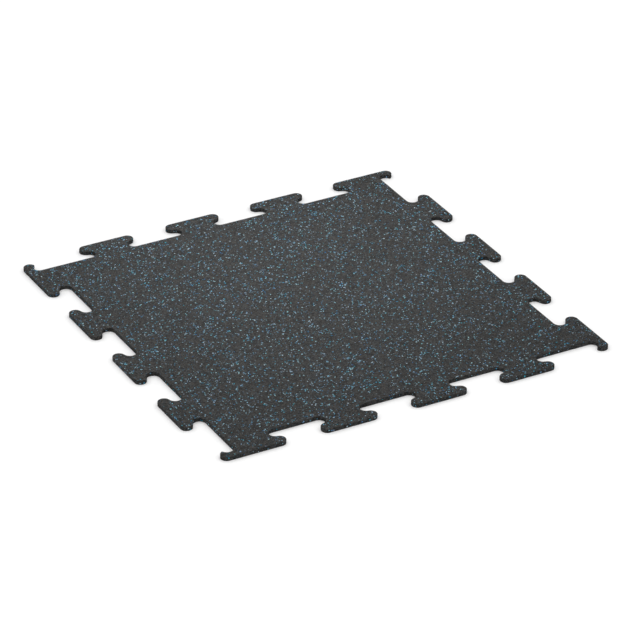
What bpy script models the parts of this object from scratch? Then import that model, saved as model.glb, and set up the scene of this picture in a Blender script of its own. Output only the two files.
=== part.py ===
"""Gym floor mat: one interlocking square tile, cut through from a sheet of bonded rubber granulate.

Units are metres, +Z is up, and the origin is the middle of the underside, so the tile lies on
the XY plane. All four sides are the same shape. One side is worked out in side coordinates:
x runs along the side from its middle, and y runs outward from the base line, which is the line
that the tabs stand on. The other three sides are that side turned by quarter turns.

A tab's outline fits the gap between two tabs of the next tile. The fitted outline is drawn
first, and every edge then stands back by half of the fit gap: straight lines move in, arcs
that bulge out get a smaller radius, and arcs that cut in get a larger one.
"""

import math

import bpy

# Driving dimensions
MODULE = 0.956          # width of floor that one tile covers when it is locked to others
TAB_DEPTH = 0.060       # how far the tabs stand out from the base line
THICKNESS = 0.010
TABS_PER_SIDE = 4       # the first one wraps round the corner
CORNER_INSET = 0.080    # from a corner of the covered square to the middle of the corner tab
NECK_WIDTH = 0.088      # narrowest width of a tab, near its root
CORNER_RADIUS = 0.015   # the one radius of every corner of the outline
HOOK_LENGTH = 0.040     # how far a corner tab reaches past the next side's base line
FIT_GAP = 0.0005        # clearance between the edges of two locked tiles
ARC_STEP = math.radians(18.0)

# Derived dimensions
BASE_LINE = (MODULE - TAB_DEPTH) / 2    # from the tile's middle to a side's base line
TAB_PITCH = (MODULE - 2 * CORNER_INSET) / (TABS_PER_SIDE - 0.5)
FIRST_TAB = CORNER_INSET - MODULE / 2   # middle of the corner tab, along the side
HEAD_WIDTH = TAB_PITCH - NECK_WIDTH     # a head fills the gap between two heads of its mate
STAND_BACK = FIT_GAP / 2
OUTER_RADIUS = CORNER_RADIUS - STAND_BACK   # arcs that bulge out
INNER_RADIUS = CORNER_RADIUS + STAND_BACK   # arcs that cut in

NODE = "floor_mat"
COLLECTION = "gym_floor_mat"
RUBBER_COLOUR = (0.050, 0.048, 0.046, 1.0)
RUBBER_ROUGHNESS = 0.9


def clear_scene():
    for item in list(bpy.data.objects):
        bpy.data.objects.remove(item, do_unlink=True)


def arc(centre, radius, start, end):
    """Points from angle start to angle end round a centre, both ends included."""
    steps = max(2, math.ceil(abs(end - start) / ARC_STEP))
    angles = [start + (end - start) * i / steps for i in range(steps + 1)]
    return [(centre[0] + radius * math.cos(a), centre[1] + radius * math.sin(a)) for a in angles]


def half_tab():
    """Right half of a tab from its outer line to the base line, with x from the tab's middle.

    The head's corner bulges out and the root cuts in. The straight flank between them is the
    line that touches both circles and passes between them.
    """
    head = (HEAD_WIDTH / 2 - CORNER_RADIUS, TAB_DEPTH - CORNER_RADIUS)
    root = (NECK_WIDTH / 2 + CORNER_RADIUS, CORNER_RADIUS)
    across, down = root[0] - head[0], root[1] - head[1]
    spread = math.hypot(across, down)
    touch = math.atan2(down, across)
    touch += math.acos((OUTER_RADIUS + INNER_RADIUS) / spread)
    return (arc(head, OUTER_RADIUS, math.pi / 2, touch)
            + arc(root, INNER_RADIUS, touch + math.pi, 1.5 * math.pi))


def shifted(points, distance):
    return [(x + distance, y) for x, y in points]


def mirrored(points):
    """The left half of a tab, in the order that the outline is walked."""
    return [(-x, y) for x, y in reversed(points)]


def hook():
    """Right end of a side: the tip of the next side's corner tab, which passes the base line.

    The root's arc and the tip's arc cross in a sharp kink, because the hook is too short for a
    flank between them.
    """
    root = (BASE_LINE + HOOK_LENGTH - CORNER_RADIUS, CORNER_RADIUS)
    tip = (BASE_LINE + TAB_DEPTH - CORNER_RADIUS, HOOK_LENGTH - CORNER_RADIUS)
    across, up = tip[0] - root[0], tip[1] - root[1]
    spread = math.hypot(across, up)
    bearing = math.atan2(up, across)
    along = (spread ** 2 + INNER_RADIUS ** 2 - OUTER_RADIUS ** 2) / (2 * spread)
    kink_from_root = bearing + math.acos(along / INNER_RADIUS)
    kink_from_tip = bearing + math.acos((along - spread) / OUTER_RADIUS)
    return (arc(root, INNER_RADIUS, -math.pi / 2, kink_from_root)
            + arc(tip, OUTER_RADIUS, kink_from_tip, 0.0)[1:])


def side():
    """One side from the head of its corner tab to the hook at its far end."""
    right = half_tab()
    points = shifted(right, FIRST_TAB)
    for tab in range(1, TABS_PER_SIDE):
        middle = FIRST_TAB + tab * TAB_PITCH
        points += shifted(mirrored(right) + right, middle)
    return points + hook()


def outline():
    """The tile's outline, anticlockwise: the front side and its three quarter turns."""
    front = [(x, -(BASE_LINE + y)) for x, y in side()]
    points = []
    for turn in range(4):
        cos, sin = [(1, 0), (0, 1), (-1, 0), (0, -1)][turn]
        points += [(cos * x - sin * y, sin * x + cos * y) for x, y in front]
    return points


def rubber_material():
    material = bpy.data.materials.new("rubber_granulate")
    material.use_nodes = True
    material.diffuse_color = RUBBER_COLOUR
    shader = material.node_tree.nodes["Principled BSDF"]
    shader.inputs["Base Color"].default_value = RUBBER_COLOUR
    shader.inputs["Roughness"].default_value = RUBBER_ROUGHNESS
    shader.inputs["Metallic"].default_value = 0.0
    return material


def floor_mat(collection):
    """The whole tile: the flat outline, filled on both faces and as thick as the sheet."""
    curve = bpy.data.curves.new(NODE, "CURVE")
    curve.dimensions = "2D"
    curve.fill_mode = "BOTH"
    curve.extrude = THICKNESS / 2
    points = outline()
    spline = curve.splines.new("POLY")
    spline.points.add(len(points) - 1)
    for slot, (x, y) in zip(spline.points, points):
        slot.co = (x, y, 0.0, 1.0)
    spline.use_cyclic_u = True
    curve.materials.append(rubber_material())
    tile = bpy.data.objects.new(NODE, curve)
    tile.location.z = THICKNESS / 2
    collection.objects.link(tile)


def main():
    clear_scene()
    collection = bpy.data.collections.new(COLLECTION)
    bpy.context.scene.collection.children.link(collection)
    floor_mat(collection)


main()
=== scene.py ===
"""Looks of a gym floor mat: a square interlocking tile cut from bonded rubber crumb.

The tile's body is one closed mesh: a profile carried along the cut outline makes the crumbly
walls and both arrises, and a lattice of small random heights fills the two faces. Blue flecks
are separate flat granules set into the faces and the cut walls. Everything is in metres.
"""

import math
from collections import namedtuple

import bpy
import numpy as np
from bpy.props import FloatProperty, FloatVectorProperty, IntProperty, PointerProperty
from bpy.types import Operator, Panel, PropertyGroup
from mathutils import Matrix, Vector
from mathutils.geometry import delaunay_2d_cdt


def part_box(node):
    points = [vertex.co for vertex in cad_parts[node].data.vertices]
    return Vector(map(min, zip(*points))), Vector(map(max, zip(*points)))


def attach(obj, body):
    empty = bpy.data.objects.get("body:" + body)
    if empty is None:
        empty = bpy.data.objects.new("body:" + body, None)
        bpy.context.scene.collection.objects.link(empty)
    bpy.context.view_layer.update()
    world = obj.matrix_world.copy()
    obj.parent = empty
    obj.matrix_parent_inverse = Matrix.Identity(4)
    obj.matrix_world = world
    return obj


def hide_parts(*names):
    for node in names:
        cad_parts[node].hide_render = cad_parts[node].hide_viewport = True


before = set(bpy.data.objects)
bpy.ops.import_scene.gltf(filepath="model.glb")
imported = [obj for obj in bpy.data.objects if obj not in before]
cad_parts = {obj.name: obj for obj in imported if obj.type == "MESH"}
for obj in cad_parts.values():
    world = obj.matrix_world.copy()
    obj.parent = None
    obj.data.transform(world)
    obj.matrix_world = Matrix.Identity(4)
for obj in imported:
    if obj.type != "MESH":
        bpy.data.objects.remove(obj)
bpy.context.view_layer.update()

bl_info = {
    "name": "Rubber Crumb Gym Mat",
    "version": (1, 0, 0),
    "blender": (4, 5, 0),
    "location": "3D View > Sidebar > Gym Mat",
    "description": "Dresses a cut gym floor tile in rubber crumb with blue flecks",
    "category": "Object",
}

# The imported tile
NODE = "floor_mat"
BODY = "root"
LOW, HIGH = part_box(NODE)
THICKNESS = HIGH.z - LOW.z
HALF_WIDTH = HIGH.x

# The cut outline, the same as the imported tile's
TAB_DEPTH = 0.060
TABS_PER_SIDE = 4
CORNER_INSET = 0.080
NECK_WIDTH = 0.088
CORNER_RADIUS = 0.015
HOOK_LENGTH = 0.040
FIT_GAP = 0.0005
STAND_BACK = FIT_GAP / 2
MODULE = 2 * (HALF_WIDTH + STAND_BACK) - TAB_DEPTH
BASE_LINE = (MODULE - TAB_DEPTH) / 2
TAB_PITCH = (MODULE - 2 * CORNER_INSET) / (TABS_PER_SIDE - 0.5)
FIRST_TAB = CORNER_INSET - MODULE / 2
HEAD_WIDTH = TAB_PITCH - NECK_WIDTH
OUTER_RADIUS = CORNER_RADIUS - STAND_BACK
INNER_RADIUS = CORNER_RADIUS + STAND_BACK
ARC_STEP = math.radians(2.0)

# The worked surface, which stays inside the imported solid
PATH_STEP = 0.0024     # spacing of the points along the cut outline
ARRIS = 0.0005         # rounding of the cut's top and bottom edges
ARRIS_LEANS = (0.0, 40.0, 90.0)     # degrees round that rounding at which the profile has a row
RING = 0.0009          # where the wall's profile hands over to the face's lattice
SINK = 0.0002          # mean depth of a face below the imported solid's
WALL_SINK = 0.00006    # depth of a wall below it, where no crumb is torn out
SKIN = 0.00001         # the least that anything stays below it
WALL_ROWS = 5          # rows of the profile between the two arrises
PIT_POWER = 2          # how strongly the pits lean to the shallow end
ARRIS_TEAR = 0.3       # share of a pit's depth that is left where an arris meets its face
CORNER_STRETCH = 1.4   # the most that an inset grows at a corner of the outline
CLEAR = 0.45           # least gap from the profile to the lattice, in lattice spacings
SWELL_CELL = 0.045     # size of the long waves in a face
LATTICE_SPAN = 1.7     # reach of a lattice's slanted rows, in half widths of the tile
NOISE_SPAN = 2.4       # width of a noise's table, in half widths of the tile
NEAR_CUT = BASE_LINE - CORNER_RADIUS    # the cut is nowhere nearer to the middle lines
ROOMY = 1.0            # stands for the room of a place that is not near the cut
DISTANCE_BATCH = 1500  # places measured against the outline at a time
KEEP_INSIDE = 1        # has the triangulation keep only what is inside the ring
SAME_PLACE = 1e-7      # points nearer than this to each other would be merged

# The body's map, whose side is 1
TOP_SIDE = 0.68        # side of the top face's square
UNDER_SIDE = 0.28      # side of the underside's square
MAP_EDGE = 0.01        # gap between the parts
STRIP = 0.8            # metres of wall in one strip
WALL_SCALE = 1.2       # map lengths for each metre of wall
ROW_HEIGHT = 0.0017    # map height of one row of the wall's profile

# Granules
COARSE_RIM = 6            # points in the rim of a fleck
FINE_RIM = 4              # points in the rim of a speck
RIM_JITTER = 0.3          # how far a rim point strays, in steps between rim points
RIM_REACH = (0.75, 1.2)   # least and greatest radius of a rim point, in even radii
SIZE_POWER = 1.3          # how strongly the sizes lean to the small end
KEEL = 0.3                # depth of a granule over its width
LIFTS = (-0.4, 1.0)       # least and greatest lift, in the look's lifts
CROWNS = (0.3, 1.0)       # least and greatest crown, in the look's crowns
WALL_SINKS = (0.4, 0.9)   # least and greatest depth of a wall fleck's rim, in wall sinks
CROWD_CELLS = (0.050, 0.016)    # sizes of the loose clusters
FINE_CROWD = 0.8          # strength of the smaller clusters, the larger ones' being 1
DRAWS = 6                 # places drawn for each one wanted
KEEP = 0.30               # chance of keeping a draw outside a cluster
CHAIN_STEPS = (0.5, 1.0)  # least and greatest step to a fleck's neighbour, in largest widths
CUT_ROOM = 0.6            # room of a fleck from the arris, in widths
CELL_SHARE = 0.42         # half width of a granule in the map, in cells

# Seeds, counted from the look's
TOP_RELIEF = 10
UNDER_RELIEF = 20
WALL_FLECKS = 40
TOP_FLECKS = 50
UNDER_FLECKS = 60
TOP_SPECKS = 70
UNDER_SPECKS = 80

# Finish
PORE_WIDTH = 0.10      # in crumbs
PORE_SHADE_STRENGTH = 0.6    # how far the painted shade of the pits covers the crumbs' colour
CRUMB_GRAIN = 3.0      # grains to a crumb
CRUMB_STEP = 0.5       # height from crumb to crumb, in bump depths
GRAIN_STEP = 0.5       # height of the grain, in bump depths
PORE_DROP = 0.8        # depth of a pore, in bump depths
NOISE_OCTAVES = 3.0    # layers of the grain and the patches
NOISE_FADE = 0.6       # strength of each layer, the one before it being 1
PATCHES = 14.0         # lighter and darker patches of the sheet to a metre
PATCH_SHARE = 0.15     # share of a crumb's shade that is its patch's
SMOOTHER = 0.15        # how much less rough the lightest crumbs are
TONES = 7.0            # how often the strength of blue runs through its range over the shades
HUES = 11.0            # how often the hue does
SKY_STOP = 0.55        # place of the middle blue among the shades
SMEARS = 420.0         # patches of smeared rubber to a metre
SMEAR_EDGE = 0.12      # softness of their edges
SMEAR_OCTAVES = 2.0
SMEAR_FADE = 0.55
GRAIN = 900.0          # grains to a metre in a fleck's own surface
GRAIN_PORE = 0.06      # in grains
FLECK_BUMP = 0.5       # depth of that grain, the rubber's being 1
FLECK_ROUGHNESS = 0.75
FLOOR_ROUGHNESS = 0.9


# Outline

def arc(centre, radius, start, end):
    """Points (cx + r cos a, cy + r sin a) for angles a from start to end."""
    count = max(2, math.ceil(abs(end - start) / ARC_STEP)) + 1
    angle = np.linspace(start, end, count)
    return np.stack([centre[0] + radius * np.cos(angle), centre[1] + radius * np.sin(angle)], 1)


def half_tab():
    """Right half of a tab: an arc that bulges out, a flank, and an arc that cuts in.

    The flank is the line that touches both circles and passes between them.
    """
    head = np.array([HEAD_WIDTH / 2 - CORNER_RADIUS, TAB_DEPTH - CORNER_RADIUS])
    root = np.array([NECK_WIDTH / 2 + CORNER_RADIUS, CORNER_RADIUS])
    across, down = root - head
    touch = math.atan2(down, across)
    touch += math.acos((OUTER_RADIUS + INNER_RADIUS) / math.hypot(across, down))
    return np.concatenate([arc(head, OUTER_RADIUS, math.pi / 2, touch),
                           arc(root, INNER_RADIUS, touch + math.pi, 1.5 * math.pi)])


def hook():
    """The next side's corner tab where it passes this side: two arcs that cross in a kink.

    Returns its points and the kink.
    """
    root = np.array([BASE_LINE + HOOK_LENGTH - CORNER_RADIUS, CORNER_RADIUS])
    tip = np.array([BASE_LINE + TAB_DEPTH - CORNER_RADIUS, HOOK_LENGTH - CORNER_RADIUS])
    across, up = tip - root
    spread = math.hypot(across, up)
    bearing = math.atan2(up, across)
    along = (spread ** 2 + INNER_RADIUS ** 2 - OUTER_RADIUS ** 2) / (2 * spread)
    inner = arc(root, INNER_RADIUS, -math.pi / 2, bearing + math.acos(along / INNER_RADIUS))
    outer = arc(tip, OUTER_RADIUS, bearing + math.acos((along - spread) / OUTER_RADIUS), 0.0)
    return np.concatenate([inner, outer[1:]]), inner[-1]


def quarter_turns(front):
    """The front side's points, given as (x along the side, y outward), on all four sides."""
    first = np.stack([front[:, 0], -(BASE_LINE + front[:, 1])], 1)
    turn = np.array([[0.0, -1.0], [1.0, 0.0]])
    return np.concatenate([first @ np.linalg.matrix_power(turn, k).T for k in range(4)])


def cut_loop(step):
    """The cut outline, anticlockwise, as points spaced evenly along it.

    Returns the points, the outward normals, each normal's lengthening at a corner and the
    distance along the loop. A point's normal is its chord's, turned by a right angle.
    """
    right = half_tab()
    tab = np.concatenate([right[::-1] * [-1, 1], right])
    tip, kink = hook()
    front = [right + [FIRST_TAB, 0]]
    front += [tab + [FIRST_TAB + k * TAB_PITCH, 0] for k in range(1, TABS_PER_SIDE)]
    drawn = quarter_turns(np.concatenate(front + [tip]))
    drawn = np.concatenate([drawn, drawn[:1]])
    walked = np.concatenate([[0.0], np.cumsum(np.hypot(*np.diff(drawn, axis=0).T))])
    count = round(walked[-1] / step)
    along = np.arange(count) * walked[-1] / count
    points = np.stack([np.interp(along, walked, drawn[:, axis]) for axis in (0, 1)], 1)
    for corner in quarter_turns(kink[None]):
        points[np.argmin(np.hypot(*(points - corner).T))] = corner
    before, after = points - np.roll(points, 1, 0), np.roll(points, -1, 0) - points
    before /= np.linalg.norm(before, axis=1)[:, None]
    after /= np.linalg.norm(after, axis=1)[:, None]
    chord = before + after
    half_turn = np.linalg.norm(chord, axis=1) / 2
    chord /= 2 * half_turn[:, None]
    normals = np.stack([chord[:, 1], -chord[:, 0]], 1)
    return points, normals, 1 / half_turn, along


def depth_inside(places, loop, normals):
    """How far each place is inside the outline: its distance to the nearest point of the loop,
    negative where that point's normal says that the place is outside."""
    depth = np.empty(len(places))
    for first in range(0, len(places), DISTANCE_BATCH):
        batch = places[first:first + DISTANCE_BATCH]
        apart = batch[:, None] - loop[None]
        nearest = np.argmin((apart ** 2).sum(2), 1)
        offset = apart[np.arange(len(batch)), nearest]
        side = -np.sign((offset * normals[nearest]).sum(1))
        depth[first:first + DISTANCE_BATCH] = side * np.hypot(*offset.T)
    return depth


def room_inside(places, loop, normals):
    """How far each place is inside the outline, measured only where the cut may be near."""
    room = np.full(len(places), ROOMY)
    near = np.abs(places).max(1) > NEAR_CUT
    room[near] = depth_inside(places[near], loop, normals)
    return room


# Relief

def smooth_noise(x, y, cell, seed):
    """Random heights from -1 to 1 at the corners of square cells, eased between by 3t2 - 2t3."""
    size = math.ceil(NOISE_SPAN * HALF_WIDTH / cell) + 2
    table = np.random.default_rng(seed).uniform(-1, 1, (size, size))
    u, v = x / cell + size / 2, y / cell + size / 2
    i, j = np.floor(u).astype(int), np.floor(v).astype(int)
    s, t = u - i, v - j
    s, t = s * s * (3 - 2 * s), t * t * (3 - 2 * t)
    low = table[i, j] * (1 - s) + table[i + 1, j] * s
    high = table[i, j + 1] * (1 - s) + table[i + 1, j + 1] * s
    return low * (1 - t) + high * t


class Lattice:
    """A triangle lattice of random heights: a face's crumb relief and its vertices' places."""

    def __init__(self, spacing, relief, swell, seed):
        self.spacing, self.swell, self.seed = spacing, swell, seed
        self.rise = spacing * math.sqrt(3) / 2
        self.reach = math.ceil(LATTICE_SPAN * HALF_WIDTH / spacing)
        span = 2 * self.reach + 2
        self.table = relief * np.random.default_rng(seed).uniform(-1, 1, (span, span))

    def swelling(self, x, y):
        """Long low waves from rolling and splitting the sheet."""
        return self.swell * smooth_noise(x, y, SWELL_CELL, self.seed + 1)

    def places(self):
        """Vertex (a, b) lies at x = (a + b/2) spacing, y = b rise."""
        steps = np.arange(-self.reach, self.reach)
        a, b = (grid.ravel() for grid in np.meshgrid(steps, steps))
        x, y = (a + b / 2) * self.spacing, b * self.rise
        inside = (abs(x) < HALF_WIDTH) & (abs(y) < HALF_WIDTH)
        return np.stack([x, y], 1)[inside]

    def height(self, x, y):
        """The plane through the three lattice heights round (x, y), plus the swelling."""
        v = y / self.rise
        u = x / self.spacing - v / 2
        a, b = np.floor(u).astype(int), np.floor(v).astype(int)
        s, t = u - a, v - b
        a, b = a + self.reach, b + self.reach
        near, right, up, far = (self.table[a, b], self.table[a + 1, b],
                                self.table[a, b + 1], self.table[a + 1, b + 1])
        lower = near + s * (right - near) + t * (up - near)
        upper = far + (1 - s) * (up - far) + (1 - t) * (right - far)
        return np.where(s + t <= 1, lower, upper) + self.swelling(x, y)


def top_lattice(look):
    """The relief of the top face."""
    return Lattice(look.relief_spacing, look.relief, look.swell, look.seed + TOP_RELIEF)


def under_lattice(look):
    """The relief of the underside, in larger steps because it is hidden and lay on a plate."""
    return Lattice(look.under_spacing, look.relief, look.swell, look.seed + UNDER_RELIEF)


# Meshes

def mesh_piece(name, vertices, triangles, material):
    """A new object at the origin with the given arrays as its mesh, shaded smooth."""
    mesh = bpy.data.meshes.new(name)
    mesh.vertices.add(len(vertices))
    mesh.vertices.foreach_set("co", np.ascontiguousarray(vertices, np.float32).ravel())
    mesh.loops.add(3 * len(triangles))
    mesh.loops.foreach_set("vertex_index", np.ascontiguousarray(triangles, np.int32).ravel())
    mesh.polygons.add(len(triangles))
    mesh.polygons.foreach_set("loop_start", np.arange(0, 3 * len(triangles), 3, dtype=np.int32))
    mesh.update(calc_edges=True)
    mesh.validate()
    mesh.shade_smooth()
    mesh.materials.append(material)
    piece = bpy.data.objects.new(name, mesh)
    bpy.context.scene.collection.objects.link(piece)
    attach(piece, BODY)
    return piece


def set_map(piece, name, coordinates):
    """A UV map from one (u, v) for each corner of each triangle."""
    layer = piece.data.uv_layers.new(name=name)
    layer.uv.foreach_set("vector", np.ascontiguousarray(coordinates, np.float32).ravel())


def set_values(piece, name, values):
    """A named number on each vertex."""
    attribute = piece.data.attributes.new(name, "FLOAT", "POINT")
    attribute.data.foreach_set("value", np.ascontiguousarray(values, np.float32))


def fill_face(ring, inner):
    """Triangles over a ring of points and the lattice points inside it, seen from above.

    The indices count the ring first and then the inner points.
    """
    places = np.concatenate([ring, inner])
    found = delaunay_2d_cdt(places.tolist(), [], [list(range(len(ring)))],
                            KEEP_INSIDE, SAME_PLACE)
    if len(found[0]) != len(places):
        raise RuntimeError("the face's triangulation moved or merged a point")
    triangles = np.array(found[2], int)
    a, b, c = (places[triangles[:, k]] for k in range(3))
    turned = np.cross(b - a, c - a) < 0
    triangles[turned] = triangles[turned][:, ::-1]
    return triangles


def wall_profile():
    """The wall's section from the top face round to the underside, as (inset, height) rows.

    Each arris is a quarter circle of radius ARRIS, and the wall between them is upright.
    """
    lean = np.radians(ARRIS_LEANS)
    inset = np.concatenate([[RING], WALL_SINK + ARRIS * (1 - np.sin(lean))])
    drop = np.concatenate([[SINK], SINK + ARRIS * (1 - np.cos(lean))])
    wall = np.linspace(drop[-1], THICKNESS - drop[-1], WALL_ROWS + 2)[1:-1]
    inset = np.concatenate([inset, np.full(WALL_ROWS, WALL_SINK), inset[::-1]])
    drop = np.concatenate([drop, wall, THICKNESS - drop[::-1]])
    return np.stack([inset, THICKNESS - drop], 1)


def band_faces(rows, count):
    """Two triangles for each cell of a closed band, whose rows run from the top down.

    Returns them with each cell's row and place.
    """
    row, place = (grid.ravel() for grid in np.meshgrid(np.arange(rows - 1), np.arange(count),
                                                       indexing="ij"))
    after = (place + 1) % count
    a, b = row * count + place, row * count + after
    c, d = b + count, a + count
    return np.concatenate([np.stack([a, d, c], 1), np.stack([a, c, b], 1)]), row, place


def cut_band(look, loop, normals, lengthening, top, under):
    """The wall and both arrises: a point for each row of the profile at each outline point.

    It stands back from the outline, against the normal, by the row's inset and the depth of a
    torn pit, both lengthened at a corner. Its height is the row's, and near a face it follows
    that face's relief. Returns the points and each one's share in the cut, from 0 to 1.
    """
    profile = wall_profile()
    rows, count = len(profile), len(loop)
    torn = look.tear * np.random.default_rng(look.seed).random((rows, count)) ** PIT_POWER
    torn[[0, -1]] = 0.0
    torn[[1, -2]] *= ARRIS_TEAR
    inset = (profile[:, :1] + torn) * np.minimum(lengthening, CORNER_STRETCH)
    flat = loop[None] - inset[..., None] * normals[None]
    waves = [lattice.height(flat[..., 0], flat[..., 1]) for lattice in (top, under)]
    height = np.repeat(profile[:, 1:], count, 1)
    height = height + waves[0] * np.clip(1 - (THICKNESS - SINK - height) / ARRIS, 0, 1)
    height = height - waves[1] * np.clip(1 - (height - SINK) / ARRIS, 0, 1)
    height = np.clip(height, SKIN, THICKNESS - SKIN)
    cut = np.clip((np.minimum(THICKNESS - height, height) - SINK) / ARRIS, 0, 1)
    return np.concatenate([flat, height[..., None]], 2), cut


def mat_body(look):
    """The tile: the wall's profile carried along the cut outline, and a lattice on each face."""
    loop, normals, lengthening, along = cut_loop(PATH_STEP)
    fine = cut_loop(PATH_STEP / 2)[:2]
    top, under = top_lattice(look), under_lattice(look)
    band, cut = cut_band(look, loop, normals, lengthening, top, under)
    rows, count = cut.shape
    band = band.reshape(-1, 3)
    walls, row_of, place_of = band_faces(rows, count)

    vertices, triangles, offset = [band], [walls], len(band)
    for lattice, first, upward in ((top, 0, True), (under, (rows - 1) * count, False)):
        inner = lattice.places()
        inner = inner[room_inside(inner, *fine) > RING + CLEAR * lattice.spacing]
        faces = fill_face(band[first:first + count, :2], inner)
        number = np.concatenate([first + np.arange(count), offset + np.arange(len(inner))])
        depth = SINK - lattice.height(*inner.T)
        vertices.append(np.column_stack([inner, THICKNESS - depth if upward else depth]))
        triangles.append(number[faces if upward else faces[:, ::-1]])
        offset += len(inner)
    counts = [len(part) for part in triangles]
    vertices, triangles = np.concatenate(vertices), np.concatenate(triangles)

    body = mesh_piece("mat_body", vertices, triangles, rubber_material(look))
    set_values(body, "cut", np.concatenate([cut.ravel(), np.zeros(len(vertices) - len(band))]))
    set_map(body, "OFBake", body_map(vertices[triangles], counts, row_of, place_of, along, rows))
    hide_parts(NODE)
    return body


def body_map(corners, counts, row_of, place_of, along, rows):
    """The body's map: the top face large, the underside small, and the wall in rows of strips.

    A wall's u runs along the outline and starts again with each strip. Its v counts the rows.
    """
    flat = corners[..., :2] / (2 * HALF_WIDTH) + 0.5
    walls, top = counts[0], counts[1]
    mapped = np.empty(flat.shape)
    mapped[walls:walls + top] = MAP_EDGE + TOP_SIDE * flat[walls:walls + top]
    below = flat[walls + top:] * [-1, 1] + [1, 0]
    mapped[walls + top:] = MAP_EDGE + UNDER_SIDE * below + [TOP_SIDE + MAP_EDGE, 0]
    row, start = np.tile(row_of, 2), along[np.tile(place_of, 2)]
    strip = np.floor(start / STRIP)
    u0 = (start - strip * STRIP) * WALL_SCALE
    u1 = u0 + (along[1] - along[0]) * WALL_SCALE
    v0 = (strip * (rows + 1) + rows - row) * ROW_HEIGHT
    v1 = v0 - ROW_HEIGHT
    first = np.arange(walls) < walls // 2
    u = np.where(first, [u0, u0, u1], [u0, u1, u1])
    v = np.where(first, [v0, v1, v1], [v0, v1, v0])
    mapped[:walls] = np.stack([u.T + MAP_EDGE, v.T + TOP_SIDE + 2 * MAP_EDGE], 2)
    return mapped


# Flecks

def granule_shapes(rng, sizes, stretch, rim):
    """Rims of flat granules about their middles: points on a jittered, stretched circle."""
    count = len(sizes)
    stray = rng.uniform(-RIM_JITTER, RIM_JITTER, (count, rim))
    angle = 2 * math.pi * (np.arange(rim) + stray) / rim
    radius = sizes[:, None] / 2 * rng.uniform(*RIM_REACH, (count, rim))
    long = rng.uniform(1, stretch, count)[:, None] ** 0.5
    across, along = radius * np.cos(angle) * long, radius * np.sin(angle) / long
    turn = rng.uniform(0, 2 * math.pi, count)[:, None]
    return (across * np.cos(turn) - along * np.sin(turn),
            across * np.sin(turn) + along * np.cos(turn))


def granule_faces(count, rim):
    """Each granule's crown and keel: a fan over its rim and another under it."""
    k = np.arange(rim)
    after = (k + 1) % rim
    crown = np.stack([k, after, np.full(rim, rim)], 1)
    keel = np.stack([after, k, np.full(rim, rim + 1)], 1)
    one = np.concatenate([crown, keel])
    return (one[None] + (np.arange(count) * (rim + 2))[:, None, None]).reshape(-1, 3)


def granule_map(rim_u, rim_v):
    """Each granule's crown and keel, in two square cells side by side."""
    count, rim = rim_u.shape
    cells = math.ceil(math.sqrt(2 * count))
    cell = 1 / cells
    reach = CELL_SHARE * cell / np.maximum(np.abs(rim_u), np.abs(rim_v)).max(1)[:, None]
    u, v = rim_u * reach, rim_v * reach
    k = np.arange(rim)
    after = (k + 1) % rim
    middle = np.zeros((count, rim))
    crown = np.stack([np.stack([u[:, k], v[:, k]], 2), np.stack([u[:, after], v[:, after]], 2),
                      np.stack([middle, middle], 2)], 2)
    keel = crown[:, :, [1, 0, 2]] * [-1, 1]
    number = 2 * np.arange(count)[:, None] + [0, 1]
    centre = (np.stack([number % cells, number // cells], 2) + 0.5) * cell
    both = np.stack([crown, keel], 1) + centre[:, :, None, None]
    return both.reshape(-1, 3, 2)


def granule_piece(name, rims, crowns, keels, rng, maps, material):
    """A piece of many granules, from their rim, crown and keel points."""
    count, rim = rims.shape[:2]
    vertices = np.concatenate([rims, crowns[:, None], keels[:, None]], 1).reshape(-1, 3)
    piece = mesh_piece(name, vertices, granule_faces(count, rim), material)
    set_map(piece, "OFBake", maps)
    set_values(piece, "shade", np.repeat(rng.random(count), rim + 2))
    return piece


# A sieve grade of coloured granule: how many, how wide, and how many points in a rim
Grade = namedtuple("Grade", "density small large rim")


def fleck_sizes(rng, count, small, large):
    """Widths from small to large, spread as a power of an even draw, so that most are small."""
    return small + (large - small) * rng.random(count) ** SIZE_POWER


def scatter(rng, count, look, grade, seed, loop, normals):
    """Places of flecks: even draws, thinned by two smooth noises so that they gather in loose
    clusters, and a share of them moved next to another fleck."""
    draws = rng.uniform(-HALF_WIDTH, HALF_WIDTH, (DRAWS * count, 2))
    wide, close = (smooth_noise(*draws.T, cell, seed + k) for k, cell in enumerate(CROWD_CELLS))
    chance = KEEP * np.exp(look.fleck_cluster * (wide + FINE_CROWD * close))
    draws = draws[rng.random(len(draws)) < chance][:count]
    chained = rng.random(len(draws)) < look.fleck_chains
    partner = rng.integers(0, len(draws), len(draws))
    bearing = rng.uniform(0, 2 * math.pi, len(draws))
    step = rng.uniform(*CHAIN_STEPS, len(draws)) * grade.large
    beside = draws[partner] + np.stack([np.cos(bearing), np.sin(bearing)], 1) * step[:, None]
    places = np.where(chained[:, None], beside, draws)
    sizes = fleck_sizes(rng, len(places), grade.small, grade.large)
    kept = room_inside(places, loop, normals) > ARRIS + CUT_ROOM * sizes
    return places[kept], sizes[kept]


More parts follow.
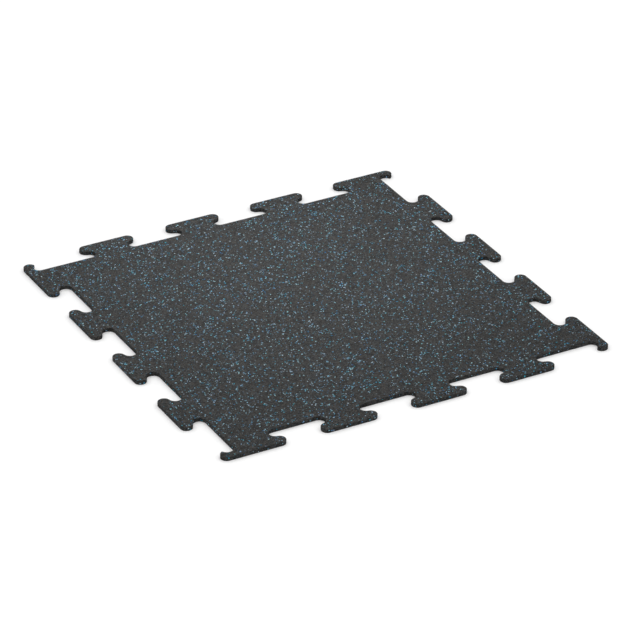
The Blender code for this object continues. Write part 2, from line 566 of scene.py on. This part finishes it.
def face_flecks(look, name, grade, lattice, seed, upward):
    """Flecks set flush into a face: rims just above the relief, crowns a little higher."""
    rng = np.random.default_rng(seed)
    loop, normals = cut_loop(PATH_STEP / 2)[:2]
    count = round(grade.density * (2 * HALF_WIDTH) ** 2)
    places, sizes = scatter(rng, count, look, grade, seed + 1, loop, normals)
    across, along = granule_shapes(rng, sizes, look.fleck_stretch, grade.rim)
    x, y = places[:, :1] + across, places[:, 1:] + along
    lift = rng.uniform(*LIFTS, (len(places), 1)) * look.fleck_lift
    rim = SINK - lattice.height(x, y) - lift
    middle = SINK - lattice.height(*places.T) - lift[:, 0]
    crown = middle - look.fleck_crown * rng.uniform(*CROWNS, len(places))
    keel = middle + KEEL * sizes
    depths = (np.maximum(rim, SKIN), np.maximum(crown, SKIN), keel)
    rim, crown, keel = (THICKNESS - depth if upward else depth for depth in depths)
    rims = np.stack([x, y, rim], 2)
    crowns, keels = np.column_stack([places, crown]), np.column_stack([places, keel])
    if not upward:
        rims = rims[:, ::-1]
        across, along = -across[:, ::-1], along[:, ::-1]
    maps = granule_map(across, along)
    return granule_piece(name, rims, crowns, keels, rng, maps, fleck_material(look))


def edge_flecks(look, grade):
    """Flecks sliced by the cut: they lie in the wall, along the outline at any height.

    A point of a fleck at distance s along the outline is loop(s) less its depth times normal(s).
    """
    rng = np.random.default_rng(look.seed + WALL_FLECKS)
    loop, normals, _, along = cut_loop(PATH_STEP)
    whole = along[-1] + along[1]
    margin = ARRIS + SINK + grade.large / 2
    count = round(grade.density * whole * (THICKNESS - 2 * margin))
    middle = rng.uniform(0, whole, count)
    level = rng.uniform(margin, THICKNESS - margin, count)
    sizes = fleck_sizes(rng, count, grade.small, grade.large)
    beside, above = granule_shapes(rng, sizes, look.fleck_stretch, grade.rim)
    reach = np.column_stack([middle[:, None] + beside, middle]) % whole
    stations = np.append(along, whole)
    closed, facing = np.vstack([loop, loop[:1]]), np.vstack([normals, normals[:1]])
    spot = np.stack([np.interp(reach, stations, closed[:, k]) for k in (0, 1)], 2)
    way = np.stack([np.interp(reach, stations, facing[:, k]) for k in (0, 1)], 2)
    inset = WALL_SINK * rng.uniform(*WALL_SINKS, (count, 1))
    spot_rim = spot[:, :-1] - inset[..., None] * way[:, :-1]
    rims = np.concatenate([spot_rim, (level[:, None] + above)[..., None]], 2)
    crowns = np.column_stack([spot[:, -1] - SKIN * way[:, -1], level])
    keels = np.column_stack([spot[:, -1] - (inset + KEEL * sizes[:, None]) * way[:, -1], level])
    maps = granule_map(beside, above)
    return granule_piece("flecks_edge", rims, crowns, keels, rng, maps, fleck_material(look))


# Materials

def new_group(name, inputs, outputs):
    """A shader node group with a vector and the named numbers in, and the named numbers out.

    Returns its tree, the sockets that bring its inputs and the sockets of its outputs.
    """
    tree = bpy.data.node_groups.new(name, "ShaderNodeTree")
    new_socket = tree.interface.new_socket
    new_socket("Vector", in_out="INPUT", socket_type="NodeSocketVector")
    for label, value in inputs.items():
        new_socket(label, in_out="INPUT", socket_type="NodeSocketFloat").default_value = value
    for label in outputs:
        new_socket(label, in_out="OUTPUT", socket_type="NodeSocketFloat")
    given, put = tree.nodes.new("NodeGroupInput"), tree.nodes.new("NodeGroupOutput")
    return tree, given.outputs, put.inputs


def node(tree, kind, **settings):
    """A new node; a setting named in_X_Y sets its input X Y, and any other an attribute."""
    made = tree.nodes.new(kind)
    for key, value in settings.items():
        if key.startswith("in_"):
            made.inputs[key[3:].replace("_", " ")].default_value = value
        else:
            setattr(made, key, value)
    return made


def link(tree, *links):
    """Joins the output to the input in each pair of sockets."""
    for source, target in links:
        tree.links.new(source, target)


def maths(tree, operation, first, second=0.0):
    """A Math node on two inputs, each a socket or a number."""
    made = tree.nodes.new("ShaderNodeMath")
    made.operation = operation
    for slot, value in zip(made.inputs, (first, second)):
        if isinstance(value, bpy.types.NodeSocket):
            tree.links.new(value, slot)
        else:
            slot.default_value = value
    return made.outputs[0]


def runs(tree, value, times):
    """The value's run from 0 to 1, made that many times as often: the fraction of the product."""
    return maths(tree, "FRACT", maths(tree, "MULTIPLY", value, times))


def colour_ramp(tree, first, last):
    """A colour ramp from one colour to another."""
    made = node(tree, "ShaderNodeValToRGB")
    for stop, end in zip(made.color_ramp.elements, (first, last)):
        stop.color = (*end, 1)
    return made


def colour_mix(tree, blend, second=(1, 1, 1)):
    """A Mix node for colours, the second of which is given."""
    made = node(tree, "ShaderNodeMix", data_type="RGBA", blend_type=blend)
    made.inputs["B"].default_value = (*second, 1)
    return made


def crumb_group():
    """Packed crumbs: one random shade for each, the pits between them, and their height."""
    if "packed_crumbs" in bpy.data.node_groups:
        return bpy.data.node_groups["packed_crumbs"]
    tree, given, put = new_group("packed_crumbs",
                                 {"Crumbs per Metre": GRAIN, "Pore Width": PORE_WIDTH},
                                 ("Shade", "Warmth", "Pores", "Height"))
    cells = node(tree, "ShaderNodeTexVoronoi", voronoi_dimensions="3D", feature="F1")
    seams = node(tree, "ShaderNodeTexVoronoi", voronoi_dimensions="3D",
                 feature="DISTANCE_TO_EDGE")
    grain = node(tree, "ShaderNodeTexNoise", in_Detail=NOISE_OCTAVES, in_Roughness=NOISE_FADE)
    split = node(tree, "ShaderNodeSeparateColor")
    pore = node(tree, "ShaderNodeMapRange", interpolation_type="SMOOTHSTEP",
                in_To_Min=1.0, in_To_Max=0.0)
    scale = given["Crumbs per Metre"]
    for texture in (cells, seams):
        link(tree, (given["Vector"], texture.inputs["Vector"]), (scale, texture.inputs["Scale"]))
    link(tree, (given["Vector"], grain.inputs["Vector"]),
         (maths(tree, "MULTIPLY", scale, CRUMB_GRAIN), grain.inputs["Scale"]),
         (cells.outputs["Color"], split.inputs["Color"]),
         (seams.outputs["Distance"], pore.inputs["Value"]),
         (given["Pore Width"], pore.inputs["From Max"]),
         (split.outputs["Red"], put["Shade"]),
         (split.outputs["Blue"], put["Warmth"]),
         (pore.outputs["Result"], put["Pores"]))
    level = maths(tree, "ADD", maths(tree, "MULTIPLY", split.outputs["Green"], CRUMB_STEP),
                  maths(tree, "MULTIPLY", grain.outputs["Fac"], GRAIN_STEP))
    level = maths(tree, "SUBTRACT", level,
                  maths(tree, "MULTIPLY", pore.outputs["Result"], PORE_DROP))
    link(tree, (level, put["Height"]))
    return tree


def smear_group():
    """Dark rubber smeared over the surface in small ragged patches, as a mask.

    It is 1 where a noise is under the level, and fades to 0 over SMEAR_EDGE above it.
    """
    if "rubber_smear" in bpy.data.node_groups:
        return bpy.data.node_groups["rubber_smear"]
    tree, given, put = new_group("rubber_smear", {"Patches per Metre": SMEARS, "Level": 0.0},
                                 ("Mask",))
    patches = node(tree, "ShaderNodeTexNoise", in_Detail=SMEAR_OCTAVES, in_Roughness=SMEAR_FADE)
    ragged = node(tree, "ShaderNodeMapRange", interpolation_type="SMOOTHSTEP",
                  in_To_Min=1.0, in_To_Max=0.0)
    link(tree, (given["Vector"], patches.inputs["Vector"]),
         (given["Patches per Metre"], patches.inputs["Scale"]),
         (patches.outputs["Fac"], ragged.inputs["Value"]),
         (given["Level"], ragged.inputs["From Min"]),
         (maths(tree, "ADD", given["Level"], SMEAR_EDGE), ragged.inputs["From Max"]),
         (ragged.outputs["Result"], put["Mask"]))
    return tree


def new_material(name):
    """A material; returns it, its tree, its Principled shader and its Object coordinates."""
    material = bpy.data.materials.new(name)
    material.use_nodes = True
    tree = material.node_tree
    place = node(tree, "ShaderNodeTexCoord").outputs["Object"]
    return material, tree, tree.nodes["Principled BSDF"], place


def rubber_material(look):
    """Charcoal rubber: crumbs of different greys, some warmer and some cooler, with painted shade
    in the pits between them and faint patches, and rougher crumb on the cut walls, whose colour
    is painted a little lighter to stand in for light falling on them."""
    material, tree, shader, place = new_material("rubber_crumb")
    crumbs = node(tree, "ShaderNodeGroup", node_tree=crumb_group(),
                  in_Crumbs_per_Metre=1 / look.crumb, in_Pore_Width=PORE_WIDTH)
    patches = node(tree, "ShaderNodeTexNoise", in_Scale=PATCHES, in_Detail=NOISE_OCTAVES,
                   in_Roughness=NOISE_FADE)
    ramp = colour_ramp(tree, look.dark_crumb, look.light_crumb)
    tint = colour_ramp(tree, look.cool_tint, look.warm_tint)
    tinted = colour_mix(tree, "MULTIPLY")
    tinted.inputs["Factor"].default_value = 1.0
    # Painted shade: the pits between the crumbs are coloured dark, standing in for the shade in
    # them.
    pore_shading = colour_mix(tree, "MIX", look.pore)
    # Painted light: the cut walls' colour is made a little lighter, standing in for light falling
    # on them.
    walls = colour_mix(tree, "MULTIPLY", look.wall_painted_light)
    cut = node(tree, "ShaderNodeAttribute", attribute_name="cut").outputs["Fac"]
    bump = node(tree, "ShaderNodeBump", in_Distance=look.bump)
    link(tree, (place, crumbs.inputs["Vector"]), (place, patches.inputs["Vector"]))
    shade = maths(tree, "ADD", maths(tree, "MULTIPLY", crumbs.outputs["Shade"], 1 - PATCH_SHARE),
                  maths(tree, "MULTIPLY", patches.outputs["Fac"], PATCH_SHARE))
    rough = maths(tree, "SUBTRACT", look.rough,
                  maths(tree, "MULTIPLY", crumbs.outputs["Shade"], SMOOTHER))
    rough = maths(tree, "ADD", rough, maths(tree, "MULTIPLY", cut, 1 - look.rough))
    link(tree, (shade, ramp.inputs["Fac"]),
         (crumbs.outputs["Warmth"], tint.inputs["Fac"]),
         (ramp.outputs["Color"], tinted.inputs["A"]),
         (tint.outputs["Color"], tinted.inputs["B"]),
         (tinted.outputs["Result"], pore_shading.inputs["A"]),
         (maths(tree, "MULTIPLY", crumbs.outputs["Pores"], PORE_SHADE_STRENGTH),
          pore_shading.inputs["Factor"]),
         (pore_shading.outputs["Result"], walls.inputs["A"]),
         (cut, walls.inputs["Factor"]),
         (walls.outputs["Result"], shader.inputs["Base Color"]),
         (crumbs.outputs["Height"], bump.inputs["Height"]),
         (bump.outputs["Normal"], shader.inputs["Normal"]),
         (rough, shader.inputs["Roughness"]))
    shader.inputs["Specular IOR Level"].default_value = look.gloss
    return material


def fleck_material(look):
    """Coloured rubber granules: each has its own shade, strength and hue of blue, dulled by
    smears of dark rubber."""
    if "blue_granule" in bpy.data.materials:
        return bpy.data.materials["blue_granule"]
    material, tree, shader, place = new_material("blue_granule")
    shade = node(tree, "ShaderNodeAttribute", attribute_name="shade").outputs["Fac"]
    ramp = colour_ramp(tree, look.deep_blue, look.pale_blue)
    ramp.color_ramp.elements.new(SKY_STOP).color = (*look.sky_blue, 1)
    strength = node(tree, "ShaderNodeMapRange", in_To_Min=look.dull, in_To_Max=look.vivid)
    hue = node(tree, "ShaderNodeMapRange", in_To_Min=look.greenest, in_To_Max=look.bluest)
    tuned = node(tree, "ShaderNodeHueSaturation")
    smear = node(tree, "ShaderNodeGroup", node_tree=smear_group(),
                 in_Patches_per_Metre=SMEARS, in_Level=look.smear)
    dulled = colour_mix(tree, "MIX", look.light_crumb)
    crumbs = node(tree, "ShaderNodeGroup", node_tree=crumb_group(),
                  in_Crumbs_per_Metre=GRAIN, in_Pore_Width=GRAIN_PORE)
    bump = node(tree, "ShaderNodeBump", in_Distance=look.bump * FLECK_BUMP)
    link(tree, (place, smear.inputs["Vector"]), (place, crumbs.inputs["Vector"]),
         (shade, ramp.inputs["Fac"]),
         (runs(tree, shade, TONES), strength.inputs["Value"]),
         (runs(tree, shade, HUES), hue.inputs["Value"]),
         (strength.outputs["Result"], tuned.inputs["Saturation"]),
         (hue.outputs["Result"], tuned.inputs["Hue"]),
         (ramp.outputs["Color"], tuned.inputs["Color"]),
         (tuned.outputs["Color"], dulled.inputs["A"]),
         (smear.outputs["Mask"], dulled.inputs["Factor"]),
         (dulled.outputs["Result"], shader.inputs["Base Color"]),
         (crumbs.outputs["Height"], bump.inputs["Height"]),
         (bump.outputs["Normal"], shader.inputs["Normal"]))
    shader.inputs["Roughness"].default_value = FLECK_ROUGHNESS
    shader.inputs["Specular IOR Level"].default_value = look.gloss
    return material


# Stage

def pale_floor(stage):
    """A level square of plain pale floor under the tile."""
    half = stage.floor_width / 2
    corners = np.array([[-half, -half, 0], [half, -half, 0], [half, half, 0], [-half, half, 0]])
    mesh = bpy.data.meshes.new("floor")
    mesh.from_pydata(corners.tolist(), [], [[0, 1, 2, 3]])
    material = bpy.data.materials.new("pale_floor")
    material.use_nodes = True
    shader = material.node_tree.nodes["Principled BSDF"]
    shader.inputs["Base Color"].default_value = (*stage.floor_colour, 1)
    shader.inputs["Roughness"].default_value = FLOOR_ROUGHNESS
    shader.inputs["Specular IOR Level"].default_value = 0.0
    mesh.materials.append(material)
    floor = bpy.data.objects.new("floor", mesh)
    bpy.context.scene.collection.objects.link(floor)
    return floor


def soft_light(name, place, aim, size, power, spread, floor):
    """An oblong area light at place, turned to aim, that the camera doesn't see.

    It is kept off the floor, which the surroundings light evenly, and lights the tile only.
    """
    lamp = bpy.data.lights.new(name, "AREA")
    lamp.shape = "RECTANGLE"
    lamp.size, lamp.size_y = size
    lamp.energy, lamp.spread = power, spread
    light = bpy.data.objects.new(name, lamp)
    light.location = place
    light.rotation_euler = (place - aim).to_track_quat("Z", "Y").to_euler()
    light.visible_camera = False
    bpy.context.scene.collection.objects.link(light)
    spared = bpy.data.collections.new(name + "_spares")
    spared.objects.link(floor)
    spared.collection_objects[0].light_linking.link_state = "EXCLUDE"
    light.light_linking.receiver_collection = spared


def key_light(stage, floor):
    """A soft light straight above the tile."""
    aim = Vector(stage.key_aim)
    soft_light("key", aim + Vector((0, 0, stage.key_height)), aim,
               (stage.key_size, stage.key_size), stage.key_power, math.pi, floor)


def sheen_light(stage, floor):
    """A soft light behind the tile, where a mirror lying at its aim would show it to the camera."""
    aim, back = Vector(stage.sheen_aim), camera_direction(stage)
    mirrored = Vector((-back.x, -back.y, back.z))
    soft_light("sheen", aim + stage.sheen_reach * mirrored, aim,
               (stage.sheen_width, stage.sheen_depth), stage.sheen_power, stage.sheen_spread,
               floor)


def camera_direction(stage):
    """The unit vector from the tile to the camera."""
    azimuth, elevation = stage.azimuth, stage.elevation
    return Vector((math.sin(azimuth) * math.cos(elevation),
                   -math.cos(azimuth) * math.cos(elevation), math.sin(elevation)))


def photo_camera(stage):
    """A long lens aimed at a point on the floor from an azimuth, an elevation and a distance."""
    back = camera_direction(stage)
    camera = bpy.data.objects.new("camera", bpy.data.cameras.new("camera"))
    camera.data.lens = stage.lens
    camera.location = Vector(stage.aim) + back * stage.distance
    camera.rotation_euler = back.to_track_quat("Z", "Y").to_euler()
    bpy.context.scene.collection.objects.link(camera)
    bpy.context.scene.camera = camera


def white_world(stage):
    """Even white light from all round, and colours shown as they are."""
    world = bpy.data.worlds.new("studio")
    world.use_nodes = True
    sky = world.node_tree.nodes["Background"]
    sky.inputs["Color"].default_value = (1, 1, 1, 1)
    sky.inputs["Strength"].default_value = stage.surround
    bpy.context.scene.world = world
    bpy.context.scene.view_settings.view_transform = "Standard"


# Settings

def colour(label, text, value):
    """A colour setting."""
    return FloatVectorProperty(name=label, description=text, default=value, subtype="COLOR",
                               min=0, max=2)


def length(label, text, value):
    """A length setting."""
    return FloatProperty(name=label, description=text, default=value, min=0, unit="LENGTH",
                         precision=5)


def point(label, text, value):
    """A setting that is a place."""
    return FloatVectorProperty(name=label, description=text, default=value,
                               subtype="TRANSLATION", unit="LENGTH")


def share(label, text, value):
    """A setting from 0 to 1."""
    return FloatProperty(name=label, description=text, default=value, min=0, max=1)


def factor(label, text, value, least=0):
    """A setting with no upper end."""
    return FloatProperty(name=label, description=text, default=value, min=least)


def amount(label, text, value):
    """A setting that is a whole number."""
    return IntProperty(name=label, description=text, default=value, min=0)


def degrees(label, text, value):
    """A setting that is an angle."""
    return FloatProperty(name=label, description=text, default=math.radians(value),
                         subtype="ANGLE", unit="ROTATION")


def watts(label, text, value):
    """A setting that is a light's power."""
    return FloatProperty(name=label, description=text, default=value, min=0, unit="POWER")


class GymMatLook(PropertyGroup):
    seed: amount("Seed", "Start of every random draw", 7)
    relief_spacing: length("Relief Spacing", "Distance between crumb heights on the top", 0.0046)
    under_spacing: length("Underside Spacing", "The same on the underside", 0.012)
    relief: length("Relief", "How far a crumb stands above or below its face", 0.00009)
    swell: length("Swell", "Height of the long waves in a face", 0.00004)
    tear: length("Tear", "How deep the pits are that crumbs torn from a wall leave", 0.00020)
    crumb: length("Crumb", "Width of a rubber crumb", 0.0026)
    bump: length("Bump", "Depth of the finest grain", 0.00035)
    gloss: share("Gloss", "Strength of the rubber's reflection", 0.085)
    rough: share("Roughness", "Roughness of the darkest crumbs", 0.90)
    dark_crumb: colour("Dark Crumb", "Colour of the darkest crumbs", (0.006, 0.006, 0.006))
    light_crumb: colour("Light Crumb", "Colour of the lightest crumbs", (0.0545, 0.0550, 0.0557))
    cool_tint: colour("Cool Tint", "Tint of the coolest crumbs", (0.84, 1.00, 1.12))
    warm_tint: colour("Warm Tint", "Tint of the warmest crumbs", (1.16, 1.00, 0.84))
    # Painted shade: this colour of the pits between the crumbs stands in for the shade in them.
    pore: colour("Pore", "Colour between the crumbs", (0.006, 0.006, 0.006))
    # Painted light: lightens the cut walls' colour, standing in for light falling on them.
    wall_painted_light: colour("Wall Shade", "Tint of the cut walls", (1.05, 1.05, 1.05))
    fleck_density: amount("Flecks", "Flecks on each square metre", 10200)
    speck_density: amount("Specks", "Specks on each square metre", 5200)
    fleck_large: length("Largest Fleck", "Width of the largest flecks", 0.0038)
    fleck_small: length("Smallest Fleck", "Width of the smallest flecks and largest specks", 0.0018)
    speck_small: length("Smallest Speck", "Width of the smallest specks", 0.0011)
    fleck_stretch: factor("Stretch", "Greatest length of a fleck over its width", 1.8, 1)
    fleck_cluster: factor("Clusters", "How unevenly flecks lie", 0.38)
    fleck_chains: share("Chains", "Share of flecks that lie next to another", 0.08)
    fleck_lift: length("Lift", "How far a fleck's rim stands above its face", 0.00005)
    fleck_crown: length("Crown", "How far a fleck's middle stands above its rim", 0.00008)
    smear: share("Smear", "Level of noise under which dark rubber covers a fleck", 0.26)
    dull: factor("Dull", "Colour strength of the greyest flecks", 0.55)
    vivid: factor("Vivid", "Colour strength of the most vivid flecks", 1.50)
    greenest: share("Greenest", "Hue of the greenest flecks, 0.5 being their own", 0.475)
    bluest: share("Bluest", "Hue of the bluest flecks, 0.5 being their own", 0.540)
    deep_blue: colour("Deep Blue", "Colour of the darkest flecks", (0.041, 0.153, 0.242))
    sky_blue: colour("Sky Blue", "Colour of most flecks", (0.119, 0.342, 0.475))
    pale_blue: colour("Pale Blue", "Colour of the palest flecks", (0.384, 0.620, 0.705))


class GymMatStage(PropertyGroup):
    azimuth: degrees("Azimuth", "Camera's turn about the tile", -28.4)
    elevation: degrees("Elevation", "Camera's height as an angle", 29.39)
    distance: length("Distance", "Camera's distance from its aim", 9.47)
    aim: point("Aim", "Point that the camera looks at", (-0.0055, -0.030, 0.0))
    lens: FloatProperty(name="Lens", description="Focal length in millimetres", default=235.45,
                        min=1, unit="CAMERA")
    floor_width: length("Floor Width", "Side of the square floor", 400.0)
    floor_colour: colour("Floor Colour", "Colour of the plain floor", (0.96, 0.96, 0.96))
    surround: factor("Surround", "Strength of the light from all round", 1.12)
    key_power: watts("Key Power", "Power of the light over the tile", 4.0)
    key_aim: point("Key Aim", "Point on the tile under that light", (0.04, 0.245, 0.0))
    key_height: length("Key Height", "Height of that light", 0.9)
    key_size: length("Key Size", "Side of that light", 0.4)
    sheen_power: watts("Sheen Power", "Power of the light behind it", 1.6)
    sheen_aim: point("Sheen Aim", "Point that mirrors the light behind", (-0.04, 0.20, 0.0))
    sheen_reach: length("Sheen Reach", "Distance of that light from its aim", 1.3)
    sheen_width: length("Sheen Width", "Width of that light", 1.2)
    sheen_depth: length("Sheen Depth", "Height of that light's face", 0.3)
    sheen_spread: degrees("Sheen Spread", "Angle that it shines into", 55)


# Operators

class GYMMAT_OT_body(Operator):
    """Build the tile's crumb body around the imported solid"""
    bl_idname = "gymmat.body"
    bl_label = "Build Tile Body"

    def execute(self, context):
        body = mat_body(context.scene.gym_mat_look)
        reach = max(abs(v) for corner in body.bound_box for v in corner[:2])
        if reach > HALF_WIDTH:
            raise RuntimeError("the body is wider than the packed tile")
        return {"FINISHED"}


class GYMMAT_OT_flecks(Operator):
    """Set the blue flecks into the top, the underside and the cut walls"""
    bl_idname = "gymmat.flecks"
    bl_label = "Set Flecks"

    def execute(self, context):
        look = context.scene.gym_mat_look
        top, under = top_lattice(look), under_lattice(look)
        coarse = Grade(look.fleck_density, look.fleck_small, look.fleck_large, COARSE_RIM)
        fine = Grade(look.speck_density, look.speck_small, look.fleck_small, FINE_RIM)
        face_flecks(look, "flecks_top", coarse, top, look.seed + TOP_FLECKS, True)
        face_flecks(look, "specks_top", fine, top, look.seed + TOP_SPECKS, True)
        face_flecks(look, "flecks_underside", coarse, under, look.seed + UNDER_FLECKS, False)
        face_flecks(look, "specks_underside", fine, under, look.seed + UNDER_SPECKS, False)
        edge_flecks(look, coarse)
        return {"FINISHED"}


class GYMMAT_OT_stage(Operator):
    """Add the plain floor, the soft light and the camera"""
    bl_idname = "gymmat.stage"
    bl_label = "Set Stage"

    def execute(self, context):
        stage = context.scene.gym_mat_stage
        floor = pale_floor(stage)
        white_world(stage)
        key_light(stage, floor)
        sheen_light(stage, floor)
        photo_camera(stage)
        return {"FINISHED"}


OPERATORS = (GYMMAT_OT_body, GYMMAT_OT_flecks, GYMMAT_OT_stage)


class GYMMAT_PT_panel(Panel):
    """The mat's settings and the steps that build it"""
    bl_idname = "GYMMAT_PT_panel"
    bl_label = "Gym Mat"
    bl_space_type = "VIEW_3D"
    bl_region_type = "UI"
    bl_category = "Gym Mat"

    def draw(self, context):
        for step in OPERATORS:
            self.layout.operator(step.bl_idname)
        for group in (context.scene.gym_mat_look, context.scene.gym_mat_stage):
            column = self.layout.column()
            for name in type(group).__annotations__:
                column.prop(group, name)


CLASSES = (GymMatLook, GymMatStage) + OPERATORS + (GYMMAT_PT_panel,)


def register():
    for item in CLASSES:
        bpy.utils.register_class(item)
    bpy.types.Scene.gym_mat_look = PointerProperty(type=GymMatLook)
    bpy.types.Scene.gym_mat_stage = PointerProperty(type=GymMatStage)


def unregister():
    del bpy.types.Scene.gym_mat_stage
    del bpy.types.Scene.gym_mat_look
    for item in reversed(CLASSES):
        bpy.utils.unregister_class(item)


def main():
    register()
    bpy.ops.gymmat.body()
    bpy.ops.gymmat.flecks()
    bpy.ops.gymmat.stage()


if __name__ == "__main__":
    main()
